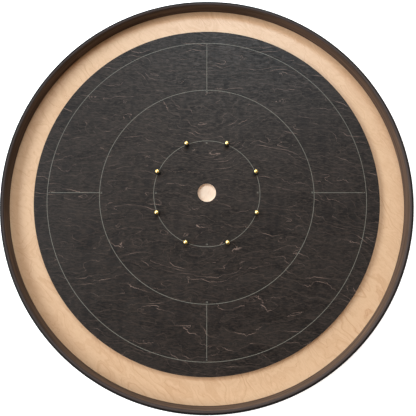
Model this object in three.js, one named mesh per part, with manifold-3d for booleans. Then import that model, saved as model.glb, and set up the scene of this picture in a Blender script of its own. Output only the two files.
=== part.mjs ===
// A round disc-flicking board of the crokinole kind, in millimetres with +Z up.
// A raised round deck stands on a larger round base board, and the ring of base left showing
// round the deck is the ditch that spent discs drop into. A bent rail of two glued plies
// stands round the edge. Eight sleeved brass pegs ring the shallow hole in the middle.
// The origin is on the table top, under the middle of the board.
import * as THREE from "three";
import { mergeVertices } from "three/addons/utils/BufferGeometryUtils.js";
import Module from "manifold-3d";

const wasm = await Module();
wasm.setup();

// Fit and fineness.
const GAP = 0.3; // glue line or clearance between two pieces side by side
const BOARD_SIDES = 96; // sides of the deck, the base and the rail
const FOOT_SIDES = 24;
const PEG_SIDES = 16;
const SCREW_SIDES = 12;

// Board.
const FOOT_HEIGHT = 8;
const BASE_THICKNESS = 12;
const CORE_THICKNESS = 13;
const VENEER_THICKNESS = 0.5;
const DECK_RADIUS = 330.2;
const RAIL_INNER_RADIUS = 381;
const PLY_THICKNESS = 3.85;
const RAIL_HEIGHT = 43;
const RAIL_CHAMFER = 1.5;
const HOLE_RADIUS = 17.46;
const HOLE_DEPTH = 7;

// Levels, counted up from the table.
const BASE_UNDERSIDE = FOOT_HEIGHT;
const BASE_TOP = BASE_UNDERSIDE + BASE_THICKNESS;
const CORE_TOP = BASE_TOP + CORE_THICKNESS;
const DECK_TOP = CORE_TOP + VENEER_THICKNESS;
const RAIL_TOP = BASE_UNDERSIDE + RAIL_HEIGHT;
const OUTER_PLY_RADIUS = RAIL_INNER_RADIUS + PLY_THICKNESS + GAP;
const RAIL_OUTER_RADIUS = OUTER_PLY_RADIUS + PLY_THICKNESS;

// Pegs: a round-headed brass screw through a rubber sleeve that stands on the deck.
const PEG_COUNT = 8;
const PEG_CIRCLE_RADIUS = 101.6;
const SLEEVE_RADIUS = 4.75;
const SLEEVE_HEIGHT = 14;
const PEG_HEAD_RADIUS = 4.1;
const PEG_HEAD_HEIGHT = 3;
const PEG_SHANK_RADIUS = 2;
const PEG_DEPTH = 10; // how far the shank goes into the deck
const POINT_LENGTH = 3; // cone at the tip of every screw

// Scarf joints, where the two ends of each rail ply meet along a slant.
const SCARF_SLANT = THREE.MathUtils.degToRad(12);
const SCARF_LENGTH = 60;
const INNER_SCARF_ANGLE = THREE.MathUtils.degToRad(135);
const OUTER_SCARF_ANGLE = THREE.MathUtils.degToRad(315);

// Fixings. Each flat head is sunk flush, and every length counts from the top of the head.
const DECK_SCREW = { length: 20, shank: 2, head: 4, sink: 2.4 };
const DECK_SCREW_COUNT = 6;
const DECK_SCREW_CIRCLE_RADIUS = 270;
const RAIL_SCREW = { length: 25, shank: 1.75, head: 3.5, sink: 2.1 };
const RAIL_SCREW_COUNT = 8;
const RAIL_SCREW_LEVEL = BASE_UNDERSIDE + BASE_THICKNESS / 2;

// Feet: a rubber bumper with a pan-head screw sunk in its underside.
const FOOT_COUNT = 4;
const FOOT_CIRCLE_RADIUS = 330;
const FOOT_TOP_RADIUS = 13;
const FOOT_UNDERSIDE_RADIUS = 11.5;
const FOOT_ROUND = 1;
const FOOT_WEB = 4; // rubber left above the sunk screw head
const FOOT_POCKET_RADIUS = 5;
const FOOT_SCREW = { length: 15, shank: 2, head: 4.2, thick: 2.2, round: 0.8 };

const material = (color, roughness, metalness) =>
  new THREE.MeshStandardMaterial({ color, roughness, metalness });

const materials = {
  baseMaple: () => material(0xe0be98, 0.45, 0),
  stainedCore: () => material(0x2c2725, 0.55, 0),
  blackVeneer: () => material(0x353130, 0.5, 0),
  stainedRail: () => material(0x3a2f29, 0.45, 0),
  brass: () => material(0xd9b060, 0.25, 1),
  sleeveRubber: () => material(0x101012, 0.75, 0),
  footRubber: () => material(0x1c1c1c, 0.85, 0),
  zincSteel: () => material(0xb8b5ac, 0.35, 1),
  blackSteel: () => material(0x2a2928, 0.4, 1),
};

const board = new THREE.Group();

// A solid of revolution about +Z. The profile's points are [radius, height]: they start on the
// axis, or close on themselves, and run outwards along the bottom and back along the top.
function turned(profile, sides) {
  const points = profile.map(([radius, height]) => new THREE.Vector2(radius, height));
  return new THREE.LatheGeometry(points, sides).rotateX(Math.PI / 2);
}

function toSolid(geometry) {
  const bare = geometry.clone().deleteAttribute("normal").deleteAttribute("uv");
  const merged = mergeVertices(bare, 1e-4);
  const mesh = new wasm.Mesh({
    numProp: 3,
    vertProperties: merged.attributes.position.array,
    triVerts: new Uint32Array(merged.index.array),
  });
  return new wasm.Manifold(mesh);
}

function toGeometry(solid) {
  const { vertProperties, triVerts } = solid.getMesh();
  const geometry = new THREE.BufferGeometry();
  geometry.setAttribute("position", new THREE.BufferAttribute(vertProperties, 3));
  geometry.setIndex(new THREE.BufferAttribute(triVerts, 1));
  geometry.computeVertexNormals();
  return geometry;
}

// Cuts every tool out of a geometry.
function cut(geometry, tools) {
  let solid = toSolid(geometry);
  for (const tool of tools) solid = solid.subtract(toSolid(tool));
  return toGeometry(solid);
}

function addPiece(name, geometry, pieceMaterial, place = new THREE.Matrix4()) {
  const mesh = new THREE.Mesh(geometry, pieceMaterial);
  mesh.name = name;
  mesh.applyMatrix4(place);
  board.add(mesh);
}

// Places round a circle: the angle of each of a number of evenly spaced stations.
function stations(count, firstAngle = 0) {
  return Array.from({ length: count }, (_, i) => firstAngle + (i * 2 * Math.PI) / count);
}

// An upright place on a circle about the board's middle.
function upright(radius, angle, height) {
  return new THREE.Matrix4().makeTranslation(
    radius * Math.cos(angle),
    radius * Math.sin(angle),
    height,
  );
}

// The same place turned upside down, for what is driven in from underneath.
function inverted(radius, angle, height) {
  return upright(radius, angle, height).multiply(new THREE.Matrix4().makeRotationX(Math.PI));
}

// A place whose own +Z points straight out from the middle of the board.
function outward(radius, angle, height) {
  return new THREE.Matrix4()
    .makeRotationZ(angle)
    .multiply(new THREE.Matrix4().makeTranslation(radius, 0, height))
    .multiply(new THREE.Matrix4().makeRotationY(Math.PI / 2));
}

// A countersunk screw that points down from its flat head at height 0.
function sunkScrew({ length, shank, head, sink }) {
  return turned(
    [
      [0, -length],
      [shank, -length + POINT_LENGTH],
      [shank, -sink],
      [head, 0],
      [0, 0],
    ],
    SCREW_SIDES,
  );
}

// The drilled and countersunk hole for such a screw, a gap larger all round.
function sunkHole({ length, shank, head, sink }) {
  return turned(
    [
      [0, -length - GAP],
      [shank + GAP, -length + POINT_LENGTH - GAP],
      [shank + GAP, -sink],
      [head + GAP, 0],
      [head + GAP, 1],
      [0, 1],
    ],
    SCREW_SIDES,
  );
}

// A plain drilled hole down from height 0.
function plainHole(radius, depth) {
  return turned([[0, -depth], [radius, -depth], [radius, 1], [0, 1]], SCREW_SIDES);
}

// A peg screw that points down from the underside of its domed head at height 0.
function pegScrew(shankLength) {
  const dome = [];
  const steps = 4;
  for (let i = 0; i < steps; i += 1) {
    const turn = (i / steps) * (Math.PI / 2);
    const height = 0.4 + (PEG_HEAD_HEIGHT - 0.4) * Math.sin(turn);
    dome.push([PEG_HEAD_RADIUS * Math.cos(turn), height]);
  }
  return turned(
    [
      [0, -shankLength],
      [PEG_SHANK_RADIUS, -shankLength + POINT_LENGTH],
      [PEG_SHANK_RADIUS, 0],
      [PEG_HEAD_RADIUS - 0.3, 0],
      ...dome,
      [0, PEG_HEAD_HEIGHT],
    ],
    PEG_SIDES,
  );
}

function pegSleeve() {
  const bore = PEG_SHANK_RADIUS + GAP;
  return turned(
    [
      [bore, 0],
      [SLEEVE_RADIUS, 0],
      [SLEEVE_RADIUS, SLEEVE_HEIGHT],
      [bore, SLEEVE_HEIGHT],
      [bore, 0],
    ],
    PEG_SIDES,
  );
}

// A pan-head screw that points down from the underside of its head at height 0.
function panScrew({ length, shank, head, thick, round }) {
  return turned(
    [
      [0, -length],
      [shank, -length + POINT_LENGTH],
      [shank, 0],
      [head, 0],
      [head, thick - round],
      [head - round, thick],
      [0, thick],
    ],
    SCREW_SIDES,
  );
}

// A foot that hangs down from its top face at height 0.
function bumper() {
  const bore = FOOT_SCREW.shank + GAP;
  return turned(
    [
      [FOOT_POCKET_RADIUS, -FOOT_HEIGHT],
      [FOOT_UNDERSIDE_RADIUS - FOOT_ROUND, -FOOT_HEIGHT],
      [FOOT_UNDERSIDE_RADIUS, -FOOT_HEIGHT + FOOT_ROUND],
      [FOOT_TOP_RADIUS, 0],
      [bore, 0],
      [bore, -FOOT_WEB],
      [FOOT_POCKET_RADIUS, -FOOT_WEB],
      [FOOT_POCKET_RADIUS, -FOOT_HEIGHT],
    ],
    FOOT_SIDES,
  );
}

// A thin slanted blade across a rail ply, which leaves the seam of its scarf joint.
function scarfBlade(angle, radius) {
  const tall = RAIL_HEIGHT + 10;
  const place = new THREE.Matrix4()
    .makeRotationZ(angle)
    .multiply(new THREE.Matrix4().makeTranslation(radius, 0, BASE_UNDERSIDE + RAIL_HEIGHT / 2))
    .multiply(new THREE.Matrix4().makeRotationZ(-SCARF_SLANT));
  return new THREE.BoxGeometry(GAP, SCARF_LENGTH, tall).applyMatrix4(place);
}

// Where everything repeated stands.
const pegAngles = stations(PEG_COUNT, Math.PI / PEG_COUNT);
const deckScrewPlaces = stations(DECK_SCREW_COUNT).map((angle) =>
  inverted(DECK_SCREW_CIRCLE_RADIUS, angle, BASE_UNDERSIDE),
);
const railScrewPlaces = stations(RAIL_SCREW_COUNT, Math.PI / RAIL_SCREW_COUNT).map((angle) =>
  outward(RAIL_OUTER_RADIUS - GAP, angle, RAIL_SCREW_LEVEL),
);
const footAngles = stations(FOOT_COUNT, Math.PI / FOOT_COUNT);

// Tools that drill for the fixings.
const deckScrewHoles = deckScrewPlaces.map((place) => sunkHole(DECK_SCREW).applyMatrix4(place));
const railScrewHoles = railScrewPlaces.map((place) => sunkHole(RAIL_SCREW).applyMatrix4(place));
const footScrewHoles = footAngles.map((angle) =>
  plainHole(FOOT_SCREW.shank + GAP, FOOT_SCREW.length - FOOT_WEB + GAP).applyMatrix4(
    inverted(FOOT_CIRCLE_RADIUS, angle, BASE_UNDERSIDE),
  ),
);
const pegHoles = pegAngles.map((angle) =>
  plainHole(PEG_SHANK_RADIUS + GAP, PEG_DEPTH + GAP).applyMatrix4(
    upright(PEG_CIRCLE_RADIUS, angle, DECK_TOP),
  ),
);

function addBoards() {
  const baseRadius = RAIL_INNER_RADIUS - GAP;
  const base = turned(
    [
      [0, BASE_UNDERSIDE],
      [baseRadius, BASE_UNDERSIDE],
      [baseRadius, BASE_TOP],
      [0, BASE_TOP],
    ],
    BOARD_SIDES,
  );
  const baseHoles = [...deckScrewHoles, ...railScrewHoles, ...footScrewHoles];
  addPiece("base_board", cut(base, baseHoles), materials.baseMaple());

  const holeFloor = DECK_TOP - HOLE_DEPTH;
  const core = turned(
    [
      [0, BASE_TOP],
      [DECK_RADIUS, BASE_TOP],
      [DECK_RADIUS, CORE_TOP],
      [HOLE_RADIUS, CORE_TOP],
      [HOLE_RADIUS, holeFloor],
      [0, holeFloor],
    ],
    BOARD_SIDES,
  );
  addPiece("deck_core", cut(core, [...deckScrewHoles, ...pegHoles]), materials.stainedCore());

  const veneer = turned(
    [
      [HOLE_RADIUS, CORE_TOP],
      [DECK_RADIUS, CORE_TOP],
      [DECK_RADIUS, DECK_TOP],
      [HOLE_RADIUS, DECK_TOP],
      [HOLE_RADIUS, CORE_TOP],
    ],
    BOARD_SIDES,
  );
  addPiece("deck_veneer", cut(veneer, pegHoles), materials.blackVeneer());
}

// Each ply has its top edge eased where hands meet it, and the outer ply its bottom edge too.
function addRail() {
  const innerPlyOuter = RAIL_INNER_RADIUS + PLY_THICKNESS;
  const innerPly = turned(
    [
      [RAIL_INNER_RADIUS, BASE_UNDERSIDE],
      [innerPlyOuter, BASE_UNDERSIDE],
      [innerPlyOuter, RAIL_TOP],
      [RAIL_INNER_RADIUS + RAIL_CHAMFER, RAIL_TOP],
      [RAIL_INNER_RADIUS, RAIL_TOP - RAIL_CHAMFER],
      [RAIL_INNER_RADIUS, BASE_UNDERSIDE],
    ],
    BOARD_SIDES,
  );
  const innerBlade = scarfBlade(INNER_SCARF_ANGLE, RAIL_INNER_RADIUS + PLY_THICKNESS / 2);
  const innerTools = [innerBlade, ...railScrewHoles];
  addPiece("rail_inner_ply", cut(innerPly, innerTools), materials.stainedRail());

  const outerPly = turned(
    [
      [OUTER_PLY_RADIUS, BASE_UNDERSIDE],
      [RAIL_OUTER_RADIUS - RAIL_CHAMFER, BASE_UNDERSIDE],
      [RAIL_OUTER_RADIUS, BASE_UNDERSIDE + RAIL_CHAMFER],
      [RAIL_OUTER_RADIUS, RAIL_TOP - RAIL_CHAMFER],
      [RAIL_OUTER_RADIUS - RAIL_CHAMFER, RAIL_TOP],
      [OUTER_PLY_RADIUS, RAIL_TOP],
      [OUTER_PLY_RADIUS, BASE_UNDERSIDE],
    ],
    BOARD_SIDES,
  );
  const outerBlade = scarfBlade(OUTER_SCARF_ANGLE, OUTER_PLY_RADIUS + PLY_THICKNESS / 2);
  const outerTools = [outerBlade, ...railScrewHoles];
  addPiece("rail_outer_ply", cut(outerPly, outerTools), materials.stainedRail());
}

function addPegs() {
  pegAngles.forEach((angle, i) => {
    const number = i + 1;
    const onDeck = upright(PEG_CIRCLE_RADIUS, angle, DECK_TOP);
    addPiece(`peg_sleeve_${number}`, pegSleeve(), materials.sleeveRubber(), onDeck);
    const underHead = upright(PEG_CIRCLE_RADIUS, angle, DECK_TOP + SLEEVE_HEIGHT);
    const shankLength = SLEEVE_HEIGHT + PEG_DEPTH;
    addPiece(`peg_screw_${number}`, pegScrew(shankLength), materials.brass(), underHead);
  });
}

function addFixings() {
  deckScrewPlaces.forEach((place, i) => {
    addPiece(`deck_screw_${i + 1}`, sunkScrew(DECK_SCREW), materials.zincSteel(), place);
  });
  railScrewPlaces.forEach((place, i) => {
    addPiece(`rail_screw_${i + 1}`, sunkScrew(RAIL_SCREW), materials.blackSteel(), place);
  });
}

function addFeet() {
  footAngles.forEach((angle, i) => {
    const number = i + 1;
    const underBase = upright(FOOT_CIRCLE_RADIUS, angle, BASE_UNDERSIDE);
    addPiece(`foot_${number}`, bumper(), materials.footRubber(), underBase);
    const underWeb = inverted(FOOT_CIRCLE_RADIUS, angle, BASE_UNDERSIDE - FOOT_WEB);
    addPiece(`foot_screw_${number}`, panScrew(FOOT_SCREW), materials.zincSteel(), underWeb);
  });
}

addBoards();
addRail();
addPegs();
addFixings();
addFeet();

export default board;
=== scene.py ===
# Looks for a crokinole board: smooth boards, bent rail, pegs, feet, screws and printed lines, made
# round the CAD frame. Metres, +Z up, in the same frame as the CAD model.
import math
import bmesh
import bpy
from mathutils import Matrix, Vector


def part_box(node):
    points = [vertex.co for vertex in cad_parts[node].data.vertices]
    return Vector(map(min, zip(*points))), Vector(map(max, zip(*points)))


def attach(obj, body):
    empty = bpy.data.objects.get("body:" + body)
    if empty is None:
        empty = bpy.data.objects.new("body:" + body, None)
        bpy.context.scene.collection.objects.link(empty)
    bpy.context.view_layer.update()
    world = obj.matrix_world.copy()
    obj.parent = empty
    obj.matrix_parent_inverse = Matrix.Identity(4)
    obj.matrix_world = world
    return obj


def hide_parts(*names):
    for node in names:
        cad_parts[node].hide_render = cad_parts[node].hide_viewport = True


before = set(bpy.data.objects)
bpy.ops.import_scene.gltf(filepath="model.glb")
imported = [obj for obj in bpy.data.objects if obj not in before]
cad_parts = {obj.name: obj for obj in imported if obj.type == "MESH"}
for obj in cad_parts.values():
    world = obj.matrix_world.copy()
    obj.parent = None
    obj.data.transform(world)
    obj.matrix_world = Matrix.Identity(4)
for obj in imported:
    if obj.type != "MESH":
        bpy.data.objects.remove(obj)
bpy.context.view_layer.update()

MM = 0.001

# ---------------------------------------------------------------- sizes taken from the frame


def top_of(node):
    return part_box(node)[1].z


def bottom_of(node):
    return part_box(node)[0].z


def radius_of(node):
    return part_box(node)[1].x


BASE_RADIUS = radius_of("base_board")
BASE_UNDER = bottom_of("base_board")
BASE_TOP = top_of("base_board")
DECK_RADIUS = radius_of("deck_veneer")
CORE_TOP = top_of("deck_core")
DECK_TOP = top_of("deck_veneer")
SLEEVE_TOP = top_of("peg_sleeve_1")
PEG_TOP = top_of("peg_screw_1")
PEG_POINT = bottom_of("peg_screw_1")
RAIL_OUTER = radius_of("rail_outer_ply")
RAIL_TOP = top_of("rail_outer_ply")
CAD_PLY_GAP = 0.3 * MM
RAIL_SEAM = radius_of("rail_inner_ply") + CAD_PLY_GAP / 2

# ---------------------------------------------------------------- sizes that the frame doesn't give

RAIL_THICKNESS = 8 * MM
RAIL_INNER = RAIL_OUTER - RAIL_THICKNESS

# Each ply's two ends meet in a slanted scarf, which shows as a thin seam.
SCARF_SLANT = math.radians(12)
SCARF_GAP = 0.16 * MM
INNER_SCARF_ANGLE = math.radians(135)
OUTER_SCARF_ANGLE = math.radians(315)

HOLE_RADIUS = 17.46 * MM
HOLE_DEPTH = 7 * MM

# Each scoring circle goes by its score. A scoring line on each side runs out from the middle
# circle and ends a little short of the outer one.
CIRCLE_RADII = {"15": 101.6 * MM, "10": 205 * MM, "5": 304.8 * MM}
QUARTERS = 4
LINE_WIDTH = 0.95 * MM
LINE_THICKNESS = 0.04 * MM
QUARTER_LINE_END = CIRCLE_RADII["5"] - 6.6 * MM
NUMBER_SIZE = 4 * MM
NUMBER_SWELL = 0.12 * MM
NUMBER_INSETS = {"15": 4.1 * MM, "10": 3.3 * MM, "5": 3.4 * MM}

PEG_COUNT = 8
PEG_CIRCLE = CIRCLE_RADII["15"]
PEG_SHANK = 2 * MM
PEG_HEAD = 4.1 * MM
SLEEVE_BORE = 2.3 * MM
SLEEVE_RADIUS = 4.75 * MM

# A screw's shank and head are radii, and its sink is the depth of the head's cone. A screw's turn
# is the angle in radians from one cross recess to the next, as no two stop alike.
SCREW_POINT = 3 * MM
PEG_TURN = 2.4
DECK_SCREW_TURN = 1.7
RAIL_SCREW_TURN = 2.3
FOOT_SCREW_TURN = 1.1
DECK_SCREW = {"length": 20 * MM, "shank": 2 * MM, "head": 4 * MM, "sink": 2.4 * MM}
DECK_SCREW_HOLE = {"depth": 15 * MM, "shank": 2.3 * MM, "head": 4.3 * MM, "sink": 2.4 * MM}
DECK_SCREW_COUNT = 6
DECK_SCREW_CIRCLE = 270 * MM
RAIL_SCREW = {"length": 25 * MM, "shank": 1.75 * MM, "head": 3.5 * MM, "sink": 2.1 * MM}
RAIL_SCREW_HOLE = {"depth": 8 * MM, "shank": 2 * MM, "head": 3.7 * MM, "sink": 2.1 * MM}
RAIL_SCREW_COUNT = 8
RAIL_SCREW_INSET = 0.3 * MM
RAIL_SCREW_CIRCLE = RAIL_OUTER - RAIL_SCREW_INSET
RAIL_SCREW_LEVEL = (BASE_UNDER + BASE_TOP) / 2
FOOT_SCREW = {"length": 15 * MM, "shank": 2 * MM, "head": 4.2 * MM, "thick": 2.2 * MM}

# A foot's web is the rubber left between the base and the screw's head.
FOOT_COUNT = 4
FOOT_CIRCLE = 330 * MM
FOOT_RADIUS = 13 * MM
FOOT_SOLE_RADIUS = 11.5 * MM
FOOT_RECESS_RADIUS = 5 * MM
FOOT_BORE = 2.3 * MM
FOOT_WEB = 4 * MM

ROUND_SIDES = 384
FOOT_SIDES = 96
SMALL_SIDES = 48
SHARP_EDGE = math.radians(35)
ON_AXIS = 1e-7
CUTTER_OVERSHOOT = 2 * MM

# ---------------------------------------------------------------- mesh helpers


def eased(corners, steps, closed=True):
    """Turns (radius, height, ease) corners into an outline with each eased corner as an arc. Each
    arc has a support point just past either end, where there is room, so that flats shade flat."""
    outline = []
    count = len(corners)
    for i, (r, z, ease) in enumerate(corners):
        here = Vector((r, z))
        at_end = not closed and i in (0, count - 1)
        if ease <= 0 or at_end:
            outline.append(here)
            continue
        before = Vector(corners[i - 1][:2]) - here
        after = Vector(corners[(i + 1) % count][:2]) - here
        back, ahead = before.normalized(), after.normalized()
        half = back.angle(ahead) / 2
        reach = ease / math.tan(half)
        centre = here + (back + ahead).normalized() * ease / math.sin(half)
        start, end = here + back * reach, here + ahead * reach
        support = 0.2 * ease
        if before.length > reach + 2 * support:
            outline.append(start + back * support)
        sweep = (start - centre).angle_signed(end - centre)
        for k in range(steps + 1):
            spoke = start - centre
            spoke.rotate(Matrix.Rotation(-sweep * k / steps, 2))
            outline.append(centre + spoke)
        if after.length > reach + 2 * support:
            outline.append(end + ahead * support)
    return outline


def mesh_from(name, work):
    mesh = bpy.data.meshes.new(name)
    work.to_mesh(mesh)
    work.free()
    return mesh


def smooth(mesh):
    mesh.shade_smooth()
    mesh.set_sharp_from_angle(angle=SHARP_EDGE)


def revolve(name, outline, sides, closed=True, first_angle=0.0):
    """A solid of revolution about Z, with UVs in metres: round the ring, then along the outline."""
    work = bmesh.new()
    uv = work.loops.layers.uv.new("UVMap")
    rings = []
    for point in outline:
        if point.x < ON_AXIS:
            rings.append([work.verts.new((0, 0, point.y))] * sides)
            continue
        ring = []
        for k in range(sides):
            angle = first_angle + 2 * math.pi * k / sides
            place = (point.x * math.cos(angle), point.x * math.sin(angle), point.y)
            ring.append(work.verts.new(place))
        rings.append(ring)
    spans = len(outline) if closed else len(outline) - 1
    outer_radius = max(point.x for point in outline)
    along = 0.0
    for i in range(spans):
        j = (i + 1) % len(outline)
        length = (outline[j] - outline[i]).length
        for k in range(sides):
            n = (k + 1) % sides
            verts = [rings[i][k], rings[i][n], rings[j][n], rings[j][k]]
            turns = [k, k + 1, k + 1, k]
            drops = [along, along, along + length, along + length]
            kept = []
            for vert, turn, drop in zip(verts, turns, drops):
                if vert not in [entry[0] for entry in kept]:
                    kept.append((vert, turn, drop))
            if len(kept) < 3:
                continue
            face = work.faces.new([entry[0] for entry in kept])
            for loop, (_, turn, drop) in zip(face.loops, kept):
                loop[uv].uv = (turn / sides * 2 * math.pi * outer_radius, drop)
        along += length
    bmesh.ops.recalc_face_normals(work, faces=work.faces)
    mesh = mesh_from(name, work)
    smooth(mesh)
    return mesh


def box_mesh(name, size):
    work = bmesh.new()
    bmesh.ops.create_cube(work, size=1)
    bmesh.ops.scale(work, vec=size, verts=work.verts)
    return mesh_from(name, work)


def put(name, mesh, matrix=None):
    piece = bpy.data.objects.new(name, mesh)
    bpy.context.scene.collection.objects.link(piece)
    if matrix is not None:
        piece.matrix_world = matrix
    return piece


def turned(name, outline, closed=True, first_angle=0.0):
    """A large turned piece, in place."""
    return put(name, revolve(name, outline, ROUND_SIDES, closed, first_angle))


def evaluated_mesh(piece):
    """A piece's mesh as its modifiers leave it, or a text's as it is drawn."""
    bpy.context.view_layer.update()
    shaped = piece.evaluated_get(bpy.context.evaluated_depsgraph_get())
    return bpy.data.meshes.new_from_object(shaped)


def carve(piece, cutters):
    """Cuts the cutters out of a piece and throws them away."""
    for cutter in cutters:
        step = piece.modifiers.new("carve", "BOOLEAN")
        step.operation = "DIFFERENCE"
        step.solver = "EXACT"
        step.object = cutter
    mesh = evaluated_mesh(piece)
    mesh.name = piece.name
    piece.modifiers.clear()
    piece.data = mesh
    for cutter in cutters:
        bpy.data.objects.remove(cutter)
    smooth(mesh)


# ---------------------------------------------------------------- places


def stations(count, midway=False):
    """Angles evenly round the board, starting at +X or half a step past it."""
    first_angle = math.pi / count if midway else 0.0
    return [first_angle + 2 * math.pi * k / count for k in range(count)]


def upright(radius, angle, height):
    return Matrix.Translation((radius * math.cos(angle), radius * math.sin(angle), height))


def facing_down(radius, angle, height):
    return upright(radius, angle, height) @ Matrix.Rotation(math.pi, 4, "X")


def facing_out(radius, angle, height):
    place = Matrix.Rotation(angle, 4, "Z") @ Matrix.Translation((radius, 0, height))
    return place @ Matrix.Rotation(math.pi / 2, 4, "Y")


def spun(place, angle):
    """The same place with the piece turned about its own axis."""
    return place @ Matrix.Rotation(angle, 4, "Z")


PEG_ANGLES = stations(PEG_COUNT, midway=True)
FOOT_ANGLES = stations(FOOT_COUNT, midway=True)
DECK_SCREW_PLACES = [
    facing_down(DECK_SCREW_CIRCLE, angle, BASE_UNDER) for angle in stations(DECK_SCREW_COUNT)
]
RAIL_SCREW_PLACES = [
    facing_out(RAIL_SCREW_CIRCLE, angle, RAIL_SCREW_LEVEL)
    for angle in stations(RAIL_SCREW_COUNT, midway=True)
]

# ---------------------------------------------------------------- material helpers


def add(tree, kind, inputs=None, **settings):
    """A new node with its settings made and its inputs linked or filled in."""
    node = tree.nodes.new(kind)
    for key, value in settings.items():
        setattr(node, key, value)
    for key, value in (inputs or {}).items():
        socket = node.inputs[key]
        if isinstance(value, bpy.types.NodeSocket):
            tree.links.new(value, socket)
        else:
            socket.default_value = value
    return node


def math_node(tree, operation, first, second=0.0):
    return add(tree, "ShaderNodeMath", {0: first, 1: second}, operation=operation).outputs[0]


def new_material(name, **shader_values):
    """A material that is one shader; shader_values name its inputs, with _ for each space."""
    material = bpy.data.materials.new(name)
    material.use_nodes = True
    tree = material.node_tree
    tree.nodes.clear()
    shader = tree.nodes.new("ShaderNodeBsdfPrincipled")
    output = tree.nodes.new("ShaderNodeOutputMaterial")
    tree.links.new(shader.outputs["BSDF"], output.inputs["Surface"])
    for key, value in shader_values.items():
        shader.inputs[key.replace("_", " ")].default_value = value
    return material, tree, shader


def stretch(tree, vector, scale, turn=0.0, shift=(0, 0, 0)):
    values = {"Vector": vector, "Scale": scale, "Rotation": (0, 0, turn), "Location": shift}
    return add(tree, "ShaderNodeMapping", values).outputs[0]


def noise(tree, vector, scale, detail, roughness=0.5, distortion=0.0):
    values = {
        "Vector": vector,
        "Scale": scale,
        "Detail": detail,
        "Roughness": roughness,
        "Distortion": distortion,
    }
    return add(tree, "ShaderNodeTexNoise", values).outputs["Fac"]


def drawn_noise(tree, vector, density, detail, roughness=0.5, distortion=0.0, turn=0.0, shift=(0, 0, 0)):
    """Noise drawn out along one axis; density is how much of it there is per metre of X, Y and Z."""
    return noise(tree, stretch(tree, vector, density, turn, shift), 1.0, detail, roughness, distortion)


def band(tree, value, low, high):
    """0 below low, 1 above high and smooth between; falls instead if low is above high."""
    values = {"Value": value, 1: min(low, high), 2: max(low, high), 3: 0.0, 4: 1.0}
    if low > high:
        values[3], values[4] = 1.0, 0.0
    node = add(tree, "ShaderNodeMapRange", values, interpolation_type="SMOOTHSTEP")
    return node.outputs[0]


def blend(tree, factor, first, second):
    values = {"Factor": factor, 6: first, 7: second}
    return add(tree, "ShaderNodeMix", values, data_type="RGBA").outputs[2]


def tint(tree, colour, mask, amount, second):
    """Lays a second colour over the first where the mask is, up to the amount."""
    return blend(tree, math_node(tree, "MULTIPLY", mask, amount), colour, second)


def roughen(tree, shader, value, first, last, low=0.0, high=1.0):
    """Roughness that goes evenly from first, where the value is low, to last, where it is high."""
    values = {"Value": value, 1: low, 2: high, 3: first, 4: last}
    node = add(tree, "ShaderNodeMapRange", values)
    tree.links.new(node.outputs[0], shader.inputs["Roughness"])


def bump(tree, shader, height, distance, strength=1.0):
    values = {"Height": height, "Distance": distance, "Strength": strength}
    node = add(tree, "ShaderNodeBump", values)
    tree.links.new(node.outputs["Normal"], shader.inputs["Normal"])


def rgb(r, g, b):
    """An sRGB colour, 0 to 255, as linear RGBA."""

    def linear(v):
        v /= 255
        return v / 12.92 if v <= 0.04045 else ((v + 0.055) / 1.055) ** 2.4

    return (linear(r), linear(g), linear(b), 1.0)


def grey(level):
    return (level, level, level, 1.0)


def object_vector(tree, turn=0.0):
    here = add(tree, "ShaderNodeTexCoord").outputs["Object"]
    return stretch(tree, here, (1, 1, 1), turn)


def fibres_of(tree, vector):
    return drawn_noise(tree, vector, (85.0, 300.0, 1.0), 4.0, 0.7, 0.6)


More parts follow.
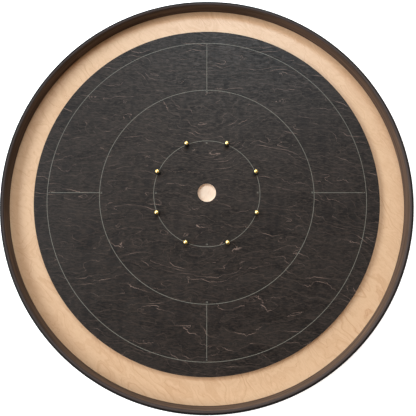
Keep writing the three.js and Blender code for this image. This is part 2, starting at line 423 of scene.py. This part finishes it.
def veneer_figure(tree, vector, rings_per_metre, calm, wild, line_width):
    """The figure of a peeled veneer whose grain runs along X. The growth rings surface as thin
    ragged contour lines, straight where calm and looped where wild, which is in patches and
    towards the rim. Calm and wild are the heights of the hills there, in rings. Each output is
    0 to 1."""
    zones = drawn_noise(tree, vector, (2.6, 3.4, 1.0), 1.0, shift=(4.2, 1.3, 0))
    radius = add(tree, "ShaderNodeVectorMath", {0: vector}, operation="LENGTH").outputs["Value"]
    rimward = math_node(tree, "MULTIPLY", band(tree, radius, 0.14, 0.3), 0.7)
    wildness = math_node(tree, "MAXIMUM", band(tree, zones, 0.42, 0.66), rimward)
    height = add(tree, "ShaderNodeMapRange", {"Value": wildness, 3: calm, 4: wild}).outputs[0]
    hook_height = 3.4
    ragged_height = 0.8

    def rings_at(place):
        across = add(tree, "ShaderNodeSeparateXYZ", {"Vector": place}).outputs["Y"]
        hills = drawn_noise(tree, place, (4.6, 8.5, 1.0), 2.0, 0.4, 0.8)
        hooks = drawn_noise(tree, place, (15.0, 36.0, 1.0), 1.0, 0.5, 0.6, shift=(5, 3, 0))
        ragged = drawn_noise(tree, place, (70.0, 90.0, 1.0), 3.0, 0.6)
        rise = math_node(tree, "MULTIPLY", hills, height)
        rise = math_node(tree, "ADD", rise, math_node(tree, "MULTIPLY", hooks, hook_height))
        rise = math_node(tree, "ADD", rise, math_node(tree, "MULTIPLY", ragged, ragged_height))
        return math_node(tree, "ADD", math_node(tree, "MULTIPLY", across, rings_per_metre), rise)

    here = rings_at(vector)
    beside = rings_at(stretch(tree, vector, (1, 1, 1), 0, (0.6 * line_width, line_width, 0)))
    step = math_node(tree, "SUBTRACT", math_node(tree, "FLOOR", beside), math_node(tree, "FLOOR", here))
    lines = math_node(tree, "MINIMUM", math_node(tree, "ABSOLUTE", step), 1.0)
    breaks = drawn_noise(tree, vector, (16.0, 46.0, 1.0), 3.0, 0.6, shift=(3, 1, 0))
    along = add(tree, "ShaderNodeSeparateXYZ", {"Vector": vector}).outputs["X"]
    depth = math_node(tree, "DIVIDE", here, rings_per_metre)
    grain = add(tree, "ShaderNodeCombineXYZ", {"X": along, "Y": depth}).outputs[0]
    return {
        "lines": lines,
        "bright": math_node(tree, "MULTIPLY", lines, band(tree, breaks, 0.5, 0.68)),
        "fibres": fibres_of(tree, vector),
        "pores": drawn_noise(tree, vector, (150.0, 1300.0, 1.0), 2.0, 0.6),
        "rings": drawn_noise(tree, grain, (7.0, 75.0, 1.0), 3.0, 0.6, shift=(7, 2, 0)),
        "patches": drawn_noise(tree, vector, (14.0, 34.0, 1.0), 4.0, 0.65, shift=(2, 5, 0)),
        "curl": drawn_noise(tree, vector, (46.0, 9.0, 1.0), 2.0, turn=0.15, shift=(1, 9, 0)),
    }


# ---------------------------------------------------------------- materials


def maple():
    """Pale maple under clear lacquer, with thin brown ring lines."""
    pale, mid, line = rgb(218, 180, 144), rgb(203, 160, 123), rgb(176, 118, 78)
    material, tree, shader = new_material("base_maple", IOR=1.48)
    figure = veneer_figure(tree, object_vector(tree, math.radians(45)), 30.0, 4.0, 11.0, 1.1 * MM)
    colour = blend(tree, band(tree, figure["rings"], 0.2, 0.6), mid, pale)
    colour = tint(tree, colour, band(tree, figure["patches"], 0.5, 0.85), 0.5, mid)
    colour = tint(tree, colour, band(tree, figure["fibres"], 0.45, 0.8), 0.8, mid)
    colour = tint(tree, colour, figure["lines"], 0.2, line)
    colour = tint(tree, colour, figure["bright"], 0.3, line)
    tree.links.new(colour, shader.inputs["Base Color"])
    roughen(tree, shader, figure["fibres"], 0.3, 0.4)
    bump(tree, shader, figure["pores"], 0.05 * MM, 0.4)
    return material


def core_ply():
    """Plywood seen on edge: black stain outside, bare veneer in the hole."""
    material, tree, shader = new_material("core_plywood", Specular_IOR_Level=0.3, Roughness=0.5)
    here = add(tree, "ShaderNodeTexCoord").outputs["Object"]
    parts = add(tree, "ShaderNodeSeparateXYZ", {"Vector": here})
    flat = add(tree, "ShaderNodeCombineXYZ", {"X": parts.outputs["X"], "Y": parts.outputs["Y"]})
    reach = add(tree, "ShaderNodeVectorMath", {0: flat.outputs[0]}, operation="LENGTH").outputs["Value"]
    outside = band(tree, reach, 20 * MM, 24 * MM)
    layers_per_metre = 1 / (2.6 * MM)
    layer = math_node(tree, "FRACT", math_node(tree, "MULTIPLY", parts.outputs["Z"], layers_per_metre))
    cross_grain = band(tree, layer, 0.46, 0.54)
    fibres = fibres_of(tree, object_vector(tree, math.radians(-64)))
    bare = blend(tree, band(tree, fibres, 0.4, 0.75), rgb(226, 204, 184), rgb(216, 187, 163))
    stained = blend(tree, cross_grain, rgb(30, 27, 26), rgb(44, 39, 37))
    colour = blend(tree, outside, bare, stained)
    tree.links.new(colour, shader.inputs["Base Color"])
    grit = drawn_noise(tree, here, (900.0, 900.0, 400.0), 2.0)
    relief = math_node(tree, "ADD", math_node(tree, "MULTIPLY", cross_grain, 0.6), grit)
    bump(tree, shader, relief, 0.08 * MM, 0.5)
    return material


def black_veneer():
    """Black stain that took unevenly: the ring lines and the open fibres stayed paler."""
    material, tree, shader = new_material("black_stained_veneer", Specular_IOR_Level=0.18)
    figure = veneer_figure(tree, object_vector(tree, math.radians(2)), 52.0, 3.0, 13.0, 0.7 * MM)
    colour = blend(tree, band(tree, figure["rings"], 0.38, 0.62), rgb(2, 2, 3), rgb(26, 23, 21))
    colour = tint(tree, colour, band(tree, figure["patches"], 0.35, 0.7), 0.6, rgb(39, 34, 32))
    colour = tint(tree, colour, band(tree, figure["fibres"], 0.42, 0.68), 0.7, rgb(57, 49, 45))
    colour = tint(tree, colour, band(tree, figure["pores"], 0.5, 0.72), 0.6, rgb(66, 57, 53))
    colour = tint(tree, colour, band(tree, figure["curl"], 0.5, 0.7), 0.4, rgb(13, 12, 14))
    colour = tint(tree, colour, figure["lines"], 0.36, rgb(86, 72, 65))
    colour = tint(tree, colour, figure["bright"], 0.7, rgb(142, 119, 109))
    tree.links.new(colour, shader.inputs["Base Color"])
    roughen(tree, shader, figure["fibres"], 0.54, 0.32, low=0.35, high=0.65)
    bump(tree, shader, figure["fibres"], 0.1 * MM)
    return material


def stained_rail(name, dark, light, rim_colour, rim_level):
    """Stain over wood whose grain runs round the hoop, from the UVs: metres along, metres up.
    Above rim_level it is darker and a little glossier."""
    material, tree, shader = new_material(name, Specular_IOR_Level=0.14)
    along = add(tree, "ShaderNodeUVMap", uv_map="UVMap").outputs[0]
    streaks = drawn_noise(tree, along, (6.0, 260.0, 1.0), 4.0, 0.55, 0.2)
    pores = drawn_noise(tree, along, (60.0, 1600.0, 1.0), 2.0)
    clouds = drawn_noise(tree, along, (7.0, 30.0, 1.0), 2.0)
    level = add(tree, "ShaderNodeSeparateXYZ", {"Vector": object_vector(tree)}).outputs["Z"]
    rim = band(tree, level, rim_level - 0.6 * MM, rim_level + 0.6 * MM)
    colour = blend(tree, band(tree, streaks, 0.3, 0.7), dark, light)
    colour = tint(tree, colour, band(tree, clouds, 0.4, 0.8), 0.5, dark)
    colour = blend(tree, band(tree, pores, 0.6, 0.8), colour, rgb(42, 34, 29))
    colour = blend(tree, rim, colour, rim_colour)
    tree.links.new(colour, shader.inputs["Base Color"])
    roughen(tree, shader, rim, 0.66, 0.48)
    bump(tree, shader, pores, 0.06 * MM, 0.5)
    return material


def printed_line():
    material, tree, shader = new_material("pale_line", Roughness=0.55)
    wear = drawn_noise(tree, object_vector(tree), (300.0, 700.0, 1.0), 2.0)
    colour = blend(tree, band(tree, wear, 0.3, 0.7), rgb(92, 90, 81), rgb(112, 109, 99))
    tree.links.new(colour, shader.inputs["Base Color"])
    return material


def clouded(name, density, edges, colours, roughness, relief=0.0, **shader_values):
    """A finish that drifts between two colours and two roughnesses, in fine clouds."""
    material, tree, shader = new_material(name, **shader_values)
    cloud = noise(tree, object_vector(tree), density, 3.0)
    colour = blend(tree, band(tree, cloud, *edges), *colours)
    tree.links.new(colour, shader.inputs["Base Color"])
    roughen(tree, shader, cloud, *roughness)
    if relief:
        bump(tree, shader, cloud, relief, 0.5)
    return material


def brass():
    colours = (rgb(253, 226, 150), rgb(244, 204, 118))
    return clouded("polished_brass", 420.0, (0.35, 0.75), colours, (0.17, 0.25), Metallic=1.0)


def rubber(name, dark, light, density):
    return clouded(name, density, (0.35, 0.75), (dark, light), (0.6, 0.8), 0.05 * MM, IOR=1.5)


def plated_steel(name, bright, dull):
    return clouded(name, 500.0, (0.35, 0.7), (bright, dull), (0.25, 0.45), Metallic=1.0)


MATERIALS = {
    "maple": maple(),
    "stained_core": core_ply(),
    "black_veneer": black_veneer(),
    "brown_rail": stained_rail(
        "brown_rail", rgb(68, 54, 45), rgb(110, 89, 76), rgb(63, 53, 50), RAIL_TOP - 1.6 * MM
    ),
    "black_rail": stained_rail(
        "black_rail", rgb(19, 17, 17), rgb(42, 37, 36), rgb(20, 17, 17), RAIL_TOP - 3 * MM
    ),
    "line": printed_line(),
    "brass": brass(),
    "sleeve_rubber": rubber("black_sleeve_rubber", rgb(8, 8, 9), rgb(16, 16, 17), 700.0),
    "foot_rubber": rubber("foot_rubber", rgb(26, 26, 26), rgb(40, 40, 40), 900.0),
    "zinc_steel": plated_steel("zinc_steel", rgb(226, 224, 214), rgb(190, 187, 176)),
    "black_steel": plated_steel("black_steel", rgb(60, 58, 56), rgb(42, 40, 39)),
}


def finish_piece(piece, slot, material=None, node=None):
    """Gives a piece the material kept under its slot, or the one stated, if its mesh has none yet,
    lets it ride on the board, and hides the CAD node that it stands for."""
    if not piece.data.materials:
        piece.data.materials.append(MATERIALS[material or slot])
    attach(piece, "root")
    if node:
        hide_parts(node)


# ---------------------------------------------------------------- screws and their holes


def cross_cutter(width, depth):
    """The driver's cross-shaped recess as a cutter, its rim at height 0. Its arms get shorter and
    a little narrower towards the bottom."""
    bottom_reach, rim_reach = 0.2 * width, 0.5 * width
    work = bmesh.new()
    levels = []
    for reach, height in ((bottom_reach, -depth), (rim_reach, 0), (rim_reach, CUTTER_OVERSHOOT)):
        half_arm = 0.1 * width + 0.1 * reach
        ring = []
        for quarter in range(4):
            spin = Matrix.Rotation(quarter * math.pi / 2, 2)
            for x, y in ((reach, -half_arm), (reach, half_arm), (half_arm, half_arm)):
                ring.append(work.verts.new((*(spin @ Vector((x, y))), height)))
        levels.append(ring)
    work.faces.new(levels[0][::-1])
    work.faces.new(levels[-1])
    for low, high in zip(levels, levels[1:]):
        for k in range(len(low)):
            n = (k + 1) % len(low)
            work.faces.new([low[k], low[n], high[n], high[k]])
    return put("cross_cutter", mesh_from("cross_cutter", work))


def screw_mesh(name, outline, recess_width, recess_depth, recess_top):
    """One screw: a turned outline with a cross recess cut in its head."""
    body = put(name, revolve(name, outline, SMALL_SIDES, closed=False))
    cutter = cross_cutter(recess_width, recess_depth)
    cutter.location.z = recess_top
    carve(body, [cutter])
    mesh = body.data
    bpy.data.objects.remove(body)
    return mesh


def sunk_screw(name, length, shank, head, sink):
    """A countersunk screw: the head is a cone under a thin straight rim."""
    rim = 0.25 * MM
    corners = [
        (0, -length, 0),
        (shank, -length + SCREW_POINT, 0.3 * MM),
        (shank, -sink, 0.3 * MM),
        (head, -rim, 0.1 * MM),
        (head, 0, 0.1 * MM),
        (0, 0, 0),
    ]
    return screw_mesh(name, eased(corners, 3, closed=False), head * 1.15, 1.6 * MM, 0)


def pan_screw(name, length, shank, head, thick):
    """A screw whose head is a flat disc with a well rounded edge."""
    corners = [
        (0, -length, 0),
        (shank, -length + SCREW_POINT, 0.3 * MM),
        (shank, 0, 0),
        (head, 0, 0.2 * MM),
        (head, thick, 1.1 * MM),
        (0, thick, 0),
    ]
    return screw_mesh(name, eased(corners, 5, closed=False), head * 1.1, 1.5 * MM, thick)


def domed_screw(name, length, shank, head, rise):
    """A round-headed screw: the head is a low dome over a thin straight rim, and its recess starts
    just under the crown."""
    rim = 0.4 * MM
    under_edge = 0.15 * MM
    crown_dip = 0.05 * MM
    steps = 10
    outline = [
        Vector((0, -length)),
        Vector((shank, -length + SCREW_POINT)),
        Vector((shank, 0)),
        Vector((head - under_edge, 0)),
    ]
    for k in range(steps):
        turn = math.pi / 2 * k / steps
        outline.append(Vector((head * math.cos(turn), rim + (rise - rim) * math.sin(turn))))
    outline.append(Vector((0, rise)))
    return screw_mesh(name, outline, 1.9 * MM, 0.8 * MM, rise - crown_dip)


def hole_cutters(places, depth, shank, head, sink):
    """Cutters for countersunk holes, one at each place."""
    cutters = []
    for place in places:
        outline = [
            Vector((0, -depth)),
            Vector((shank, -depth)),
            Vector((shank, -sink)),
            Vector((head, 0)),
            Vector((head, CUTTER_OVERSHOOT)),
            Vector((0, CUTTER_OVERSHOOT)),
        ]
        cutters.append(put("cutter", revolve("cutter", outline, SMALL_SIDES, closed=False), place))
    return cutters


# ---------------------------------------------------------------- boards


def build_boards():
    corners = [
        (0, BASE_UNDER, 0),
        (BASE_RADIUS, BASE_UNDER, 0.5 * MM),
        (BASE_RADIUS, BASE_TOP, 0.2 * MM),
        (0, BASE_TOP, 0),
    ]
    base = turned("base", eased(corners, 4, closed=False), closed=False)
    carve(base, hole_cutters(DECK_SCREW_PLACES, **DECK_SCREW_HOLE))
    finish_piece(base, "maple", node="base_board")

    hole_floor = DECK_TOP - HOLE_DEPTH
    corners = [
        (0, hole_floor, 0),
        (HOLE_RADIUS, hole_floor, 3 * MM),
        (HOLE_RADIUS, CORE_TOP, 0),
        (DECK_RADIUS, CORE_TOP, 0),
        (DECK_RADIUS, BASE_TOP, 0.4 * MM),
        (0, BASE_TOP, 0),
    ]
    core = turned("core", eased(corners, 4, closed=False), closed=False)
    finish_piece(core, "stained_core", node="deck_core")

    corners = [
        (HOLE_RADIUS, CORE_TOP, 0),
        (DECK_RADIUS, CORE_TOP, 0),
        (DECK_RADIUS, DECK_TOP, 0.35 * MM),
        (HOLE_RADIUS, DECK_TOP, 0.25 * MM),
    ]
    veneer = turned("veneer", eased(corners, 5))
    finish_piece(veneer, "black_veneer", node="deck_veneer")


# ---------------------------------------------------------------- rail


def scarf_blade(angle, radius):
    """A thin slanted blade that leaves the seam where the two ends of a ply meet."""
    length = 70 * MM
    height = 60 * MM
    middle = (BASE_UNDER + RAIL_TOP) / 2
    place = Matrix.Rotation(angle, 4, "Z") @ Matrix.Translation((radius, 0, middle))
    return put("blade", box_mesh("blade", (SCARF_GAP, length, height)), spun(place, -SCARF_SLANT))


def build_rail():
    """Both plies start their UVs where their scarf seam meets the face that shows. The seam's angle
    is at the middle of the ply, so it leans on from there through half of the ply."""
    half_gap = 0.05 * MM
    half_ply = RAIL_THICKNESS / 4
    lean = half_ply / math.tan(SCARF_SLANT)
    corners = [
        (RAIL_INNER, BASE_UNDER, 0.3 * MM),
        (RAIL_SEAM - half_gap, BASE_UNDER, 0),
        (RAIL_SEAM - half_gap, RAIL_TOP, 0.15 * MM),
        (RAIL_INNER, RAIL_TOP, 2.8 * MM),
    ]
    start = INNER_SCARF_ANGLE - lean / RAIL_INNER
    inner = turned("rail_inner", eased(corners, 8), first_angle=start)
    carve(inner, [scarf_blade(INNER_SCARF_ANGLE, (RAIL_INNER + RAIL_SEAM) / 2)])
    finish_piece(inner, "stained_rail", "brown_rail", node="rail_inner_ply")

    corners = [
        (RAIL_SEAM + half_gap, BASE_UNDER, 0),
        (RAIL_OUTER, BASE_UNDER, 1.5 * MM),
        (RAIL_OUTER, RAIL_TOP, 3 * MM),
        (RAIL_SEAM + half_gap, RAIL_TOP, 0.15 * MM),
    ]
    start = OUTER_SCARF_ANGLE + lean / RAIL_OUTER
    outer = turned("rail_outer", eased(corners, 8), first_angle=start)
    cutters = hole_cutters(RAIL_SCREW_PLACES, **RAIL_SCREW_HOLE)
    carve(outer, [scarf_blade(OUTER_SCARF_ANGLE, (RAIL_SEAM + RAIL_OUTER) / 2)] + cutters)
    finish_piece(outer, "stained_rail", "black_rail", node="rail_outer_ply")


# ---------------------------------------------------------------- pegs


def build_pegs():
    sleeve_height = SLEEVE_TOP - DECK_TOP
    corners = [
        (SLEEVE_BORE, 0, 0),
        (SLEEVE_RADIUS, 0, 0.3 * MM),
        (SLEEVE_RADIUS, sleeve_height, 0.5 * MM),
        (SLEEVE_BORE, sleeve_height, 0.3 * MM),
    ]
    sleeve_mesh = revolve("sleeve", eased(corners, 4), SMALL_SIDES)
    peg_mesh = domed_screw("peg", SLEEVE_TOP - PEG_POINT, PEG_SHANK, PEG_HEAD, PEG_TOP - SLEEVE_TOP)
    for k, angle in enumerate(PEG_ANGLES, 1):
        sleeve = put(f"sleeve_{k}", sleeve_mesh, upright(PEG_CIRCLE, angle, DECK_TOP))
        finish_piece(sleeve, "sleeve_rubber", node=f"peg_sleeve_{k}")
        place = upright(PEG_CIRCLE, angle, DECK_TOP + sleeve_height)
        peg = put(f"peg_{k}", peg_mesh, spun(place, PEG_TURN * k))
        finish_piece(peg, "brass", node=f"peg_screw_{k}")


# ---------------------------------------------------------------- feet and fixings


def build_feet():
    foot_height = BASE_UNDER
    corners = [
        (FOOT_RECESS_RADIUS, -foot_height, 0.4 * MM),
        (FOOT_SOLE_RADIUS, -foot_height, 1.2 * MM),
        (FOOT_RADIUS, 0, 0.3 * MM),
        (FOOT_BORE, 0, 0),
        (FOOT_BORE, -FOOT_WEB, 0),
        (FOOT_RECESS_RADIUS, -FOOT_WEB, 0.3 * MM),
    ]
    foot_mesh = revolve("foot", eased(corners, 5), FOOT_SIDES)
    foot_screw = pan_screw("foot_screw", **FOOT_SCREW)
    for k, angle in enumerate(FOOT_ANGLES, 1):
        foot = put(f"bumper_{k}", foot_mesh, upright(FOOT_CIRCLE, angle, BASE_UNDER))
        finish_piece(foot, "foot_rubber", node=f"foot_{k}")
        place = facing_down(FOOT_CIRCLE, angle, BASE_UNDER - FOOT_WEB)
        screw = put(f"bumper_screw_{k}", foot_screw, spun(place, FOOT_SCREW_TURN * k))
        finish_piece(screw, "zinc_steel", node=f"foot_screw_{k}")


def build_fixings():
    deck_screw = sunk_screw("deck_fixing", **DECK_SCREW)
    for k, place in enumerate(DECK_SCREW_PLACES, 1):
        screw = put(f"deck_fixing_{k}", deck_screw, spun(place, DECK_SCREW_TURN * k))
        finish_piece(screw, "zinc_steel", node=f"deck_screw_{k}")
    rail_screw = sunk_screw("rail_fixing", **RAIL_SCREW)
    for k, place in enumerate(RAIL_SCREW_PLACES, 1):
        screw = put(f"rail_fixing_{k}", rail_screw, spun(place, RAIL_SCREW_TURN * k))
        finish_piece(screw, "black_steel", node=f"rail_screw_{k}")


# ---------------------------------------------------------------- scoring lines and numbers


def build_lines():
    top = DECK_TOP + LINE_THICKNESS
    for label, radius in CIRCLE_RADII.items():
        inner, outer = radius - LINE_WIDTH / 2, radius + LINE_WIDTH / 2
        corners = [(inner, DECK_TOP), (outer, DECK_TOP), (outer, top), (inner, top)]
        circle = turned(f"circle_{label}", [Vector(corner) for corner in corners])
        finish_piece(circle, "black_veneer", "line")
    start, end = CIRCLE_RADII["10"] + LINE_WIDTH / 2, QUARTER_LINE_END
    for k, angle in enumerate(stations(QUARTERS), 1):
        mesh = box_mesh(f"quadrant_{k}", (end - start, LINE_WIDTH, LINE_THICKNESS))
        place = upright((start + end) / 2, angle, DECK_TOP + LINE_THICKNESS / 2)
        line = put(f"quadrant_{k}", mesh, spun(place, angle))
        finish_piece(line, "black_veneer", "line")


def number_mesh(name, digits):
    text = bpy.data.curves.new(name, "FONT")
    text.body = digits
    text.size = NUMBER_SIZE
    text.align_x = "CENTER"
    text.align_y = "CENTER"
    text.extrude = LINE_THICKNESS / 2
    text.offset = NUMBER_SWELL
    holder = put("text", text)
    mesh = evaluated_mesh(holder)
    bpy.data.objects.remove(holder)
    mesh.materials.clear()
    return mesh


def build_numbers():
    """Each circle's score, just inside it and facing the player on each side."""
    for label, inset in NUMBER_INSETS.items():
        for k, angle in enumerate(stations(QUARTERS), 1):
            name = f"score_{label}_{k}"
            place = upright(CIRCLE_RADII[label] - inset, angle, DECK_TOP + LINE_THICKNESS / 2)
            number = put(name, number_mesh(name, label), spun(place, angle + math.pi / 2))
            finish_piece(number, "black_veneer", "line")


# ---------------------------------------------------------------- stage, light and camera

FLOOR_REACH = 6.0
SOFTBOX_DISTANCE = 8.0

# Blender spreads an area light's power over four times its area.
POWER_PER_RADIANCE = 4

# The camera is nearly above the board, a little towards the player on the near side.
CAMERA_LENS = 46.69
CAMERA_SHIFT = -0.1514
CAMERA_ASIDE = 2.3 * MM
CAMERA_BACK = 131.8 * MM
CAMERA_ABOVE_DECK = 1026.9 * MM
CAMERA_TILT = math.radians(12.36)


def build_stage():
    work = bmesh.new()
    bmesh.ops.create_grid(work, x_segments=1, y_segments=1, size=FLOOR_REACH)
    floor = put("floor", mesh_from("floor", work))
    material, _, shader = new_material("floor_white", Roughness=0.9, Emission_Strength=0.7)
    shader.inputs["Base Color"].default_value = grey(0.98)
    floor.data.materials.append(material)


def sky_place(azimuth, elevation, distance):
    """A point seen from the board at an azimuth (from +X towards +Y) and elevation in degrees."""
    a, e = math.radians(azimuth), math.radians(elevation)
    across = math.cos(e)
    return distance * Vector((across * math.cos(a), across * math.sin(a), math.sin(e)))


def add_softbox(name, azimuth, elevation, width, height, radiance, colour):
    """A light panel far enough off to light the whole board evenly; sizes in metres."""
    data = bpy.data.lights.new(name, "AREA")
    data.shape = "RECTANGLE"
    data.size, data.size_y = width, height
    data.energy = POWER_PER_RADIANCE * radiance * width * height
    data.color = colour
    box = bpy.data.objects.new(name, data)
    box.location = sky_place(azimuth, elevation, SOFTBOX_DISTANCE)
    box.rotation_euler = (-box.location).to_track_quat("-Z", "Y").to_euler()
    bpy.context.scene.collection.objects.link(box)


def build_light():
    """A large softbox on the left, two beyond the far side and a weak one on the right, under a
    faint warm ceiling. The walls are dim, brighter low on the far left and pale at the horizon."""
    add_softbox("key", 175, 48, 7.2, 3.05, 6.3, (0.86, 0.97, 1.04))
    add_softbox("skylight", 82, 58, 4.0, 1.6, 8.2, (0.74, 1.0, 1.18))
    add_softbox("overhead", 92, 70, 3.0, 2.1, 4.2, (1.0, 0.88, 0.74))
    add_softbox("fill", 5, 50, 5.4, 2.6, 0.8, (0.9, 1.0, 0.95))
    wall, ceiling = grey(0.05), (0.7, 0.42, 0.24, 1.0)
    far_left = (-0.7, 0.7, 0.0)
    world = bpy.data.worlds.new("studio")
    world.use_nodes = True
    tree = world.node_tree
    towards = add(tree, "ShaderNodeTexCoord").outputs["Generated"]
    up = add(tree, "ShaderNodeSeparateXYZ", {"Vector": towards}).outputs["Z"]
    left = add(tree, "ShaderNodeVectorMath", {0: towards, 1: far_left}, operation="DOT_PRODUCT")
    colour = blend(tree, band(tree, up, 0.77, 0.96), wall, ceiling)
    low = band(tree, up, 0.5, 0.15)
    low_left = math_node(tree, "MULTIPLY", low, band(tree, left.outputs["Value"], 0.0, 0.9))
    colour = blend(tree, low_left, colour, grey(5.0))
    colour = blend(tree, band(tree, up, 0.13, 0.06), colour, grey(1.0))
    tree.links.new(colour, tree.nodes["Background"].inputs["Color"])
    bpy.context.scene.world = world


def build_camera():
    data = bpy.data.cameras.new("camera")
    data.lens = CAMERA_LENS
    data.shift_y = CAMERA_SHIFT
    camera = bpy.data.objects.new("camera", data)
    camera.location = (CAMERA_ASIDE, -CAMERA_BACK, DECK_TOP + CAMERA_ABOVE_DECK)
    camera.rotation_euler = (CAMERA_TILT, 0, 0)
    bpy.context.scene.collection.objects.link(camera)
    bpy.context.scene.camera = camera
    bpy.context.scene.view_settings.view_transform = "Standard"


build_camera()
build_light()
build_stage()
build_boards()
build_rail()
build_pegs()
build_feet()
build_fixings()
build_lines()
build_numbers()
